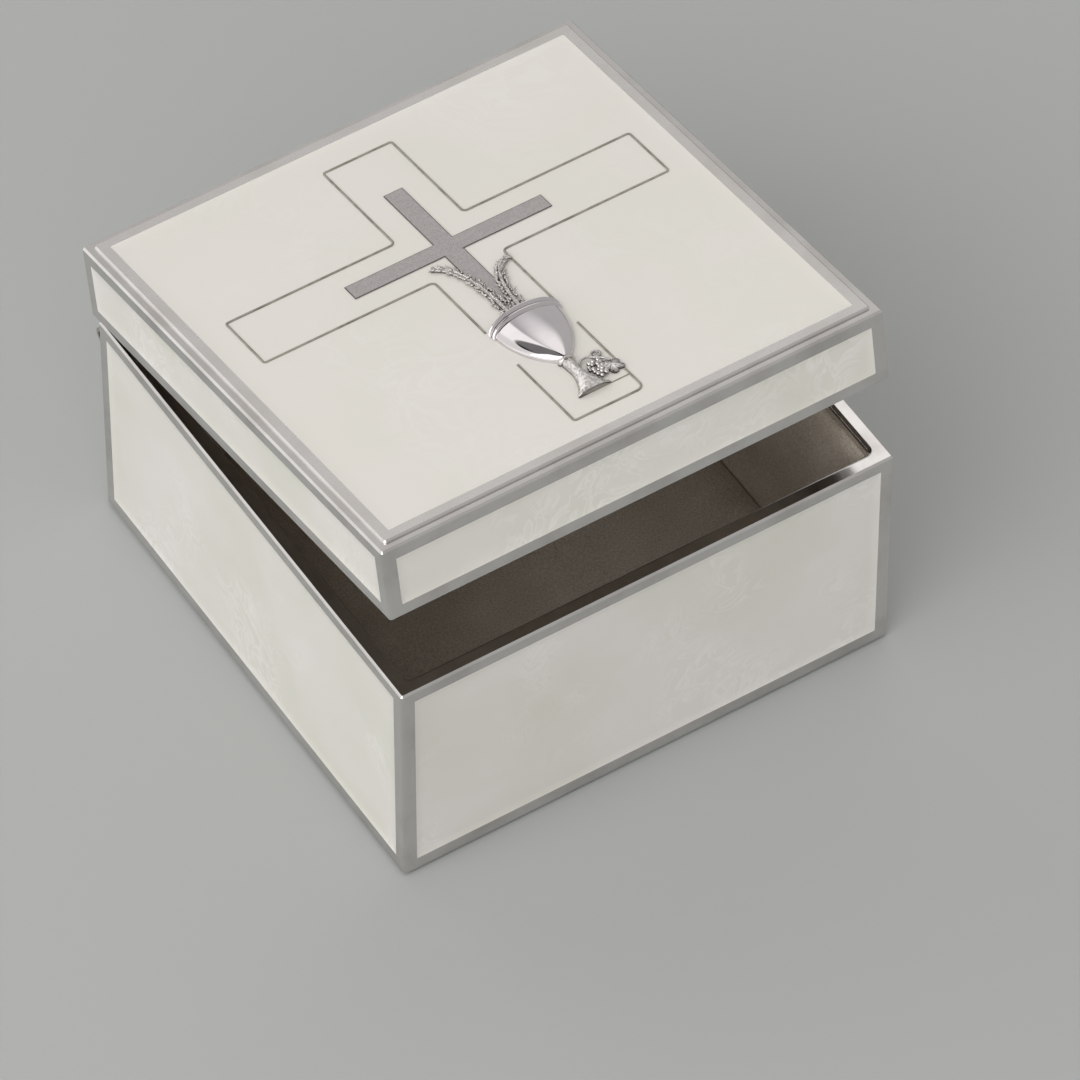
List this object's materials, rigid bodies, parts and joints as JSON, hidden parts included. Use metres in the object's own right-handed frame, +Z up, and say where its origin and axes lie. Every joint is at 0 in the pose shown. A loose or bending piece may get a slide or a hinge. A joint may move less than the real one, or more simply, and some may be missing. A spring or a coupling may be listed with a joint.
{
  "type": "rosary box",
  "caption": "Square hinged metal keepsake box with white enamel faces, a lined inside and a lid bearing a cross, chalice, wheat and vine in relief.",
  "frame": {"origin": "middle of the underside, on the surface the box stands on", "axes": "+Z up, the front faces -Y, +X to the right seen from the front; the hinge runs along X at +Y"},
  "size_m": [0.0804, 0.0834, 0.0659],
  "materials": {
    "silvered_metal": "satin",
    "polished_metal": "polished",
    "relief_metal": "satin",
    "dark_wire": "satin",
    "hinge_metal": "satin",
    "enamel": "gloss",
    "lining_cloth": "matte",
    "felt": "matte"
  },
  "bodies": {
    "base": {"base_case": "silvered_metal", "base_front_enamel": "enamel", "base_back_enamel": "enamel", "base_left_enamel": "enamel", "base_right_enamel": "enamel", "base_front_lining": "lining_cloth", "base_back_lining": "lining_cloth", "base_left_lining": "lining_cloth", "base_right_lining": "lining_cloth", "base_floor_pad": "lining_cloth", "base_felt": "felt", "hinge_base_leaf": "hinge_metal", "hinge_pin": "hinge_metal"},
    "lid": {"lid_case": "silvered_metal", "lid_front_enamel": "enamel", "lid_back_enamel": "enamel", "lid_left_enamel": "enamel", "lid_right_enamel": "enamel", "lid_top_plate": "silvered_metal", "lid_top_enamel": "enamel", "cross_outline": "dark_wire", "cross_bar": "relief_metal", "chalice": "polished_metal", "wheat_left": "relief_metal", "wheat_right": "relief_metal", "vine_spray": "relief_metal", "lid_lining_pad": "lining_cloth", "hinge_lid_leaf": "hinge_metal"}
  },
  "joints": [
    {"name": "lid_hinge", "type": "hinge", "parent": "base", "child": "lid", "pos_m": [0, 0.0417, 0.0333], "axis": [-1, 0, 0], "range_deg": [-10, 90]}
  ]
}
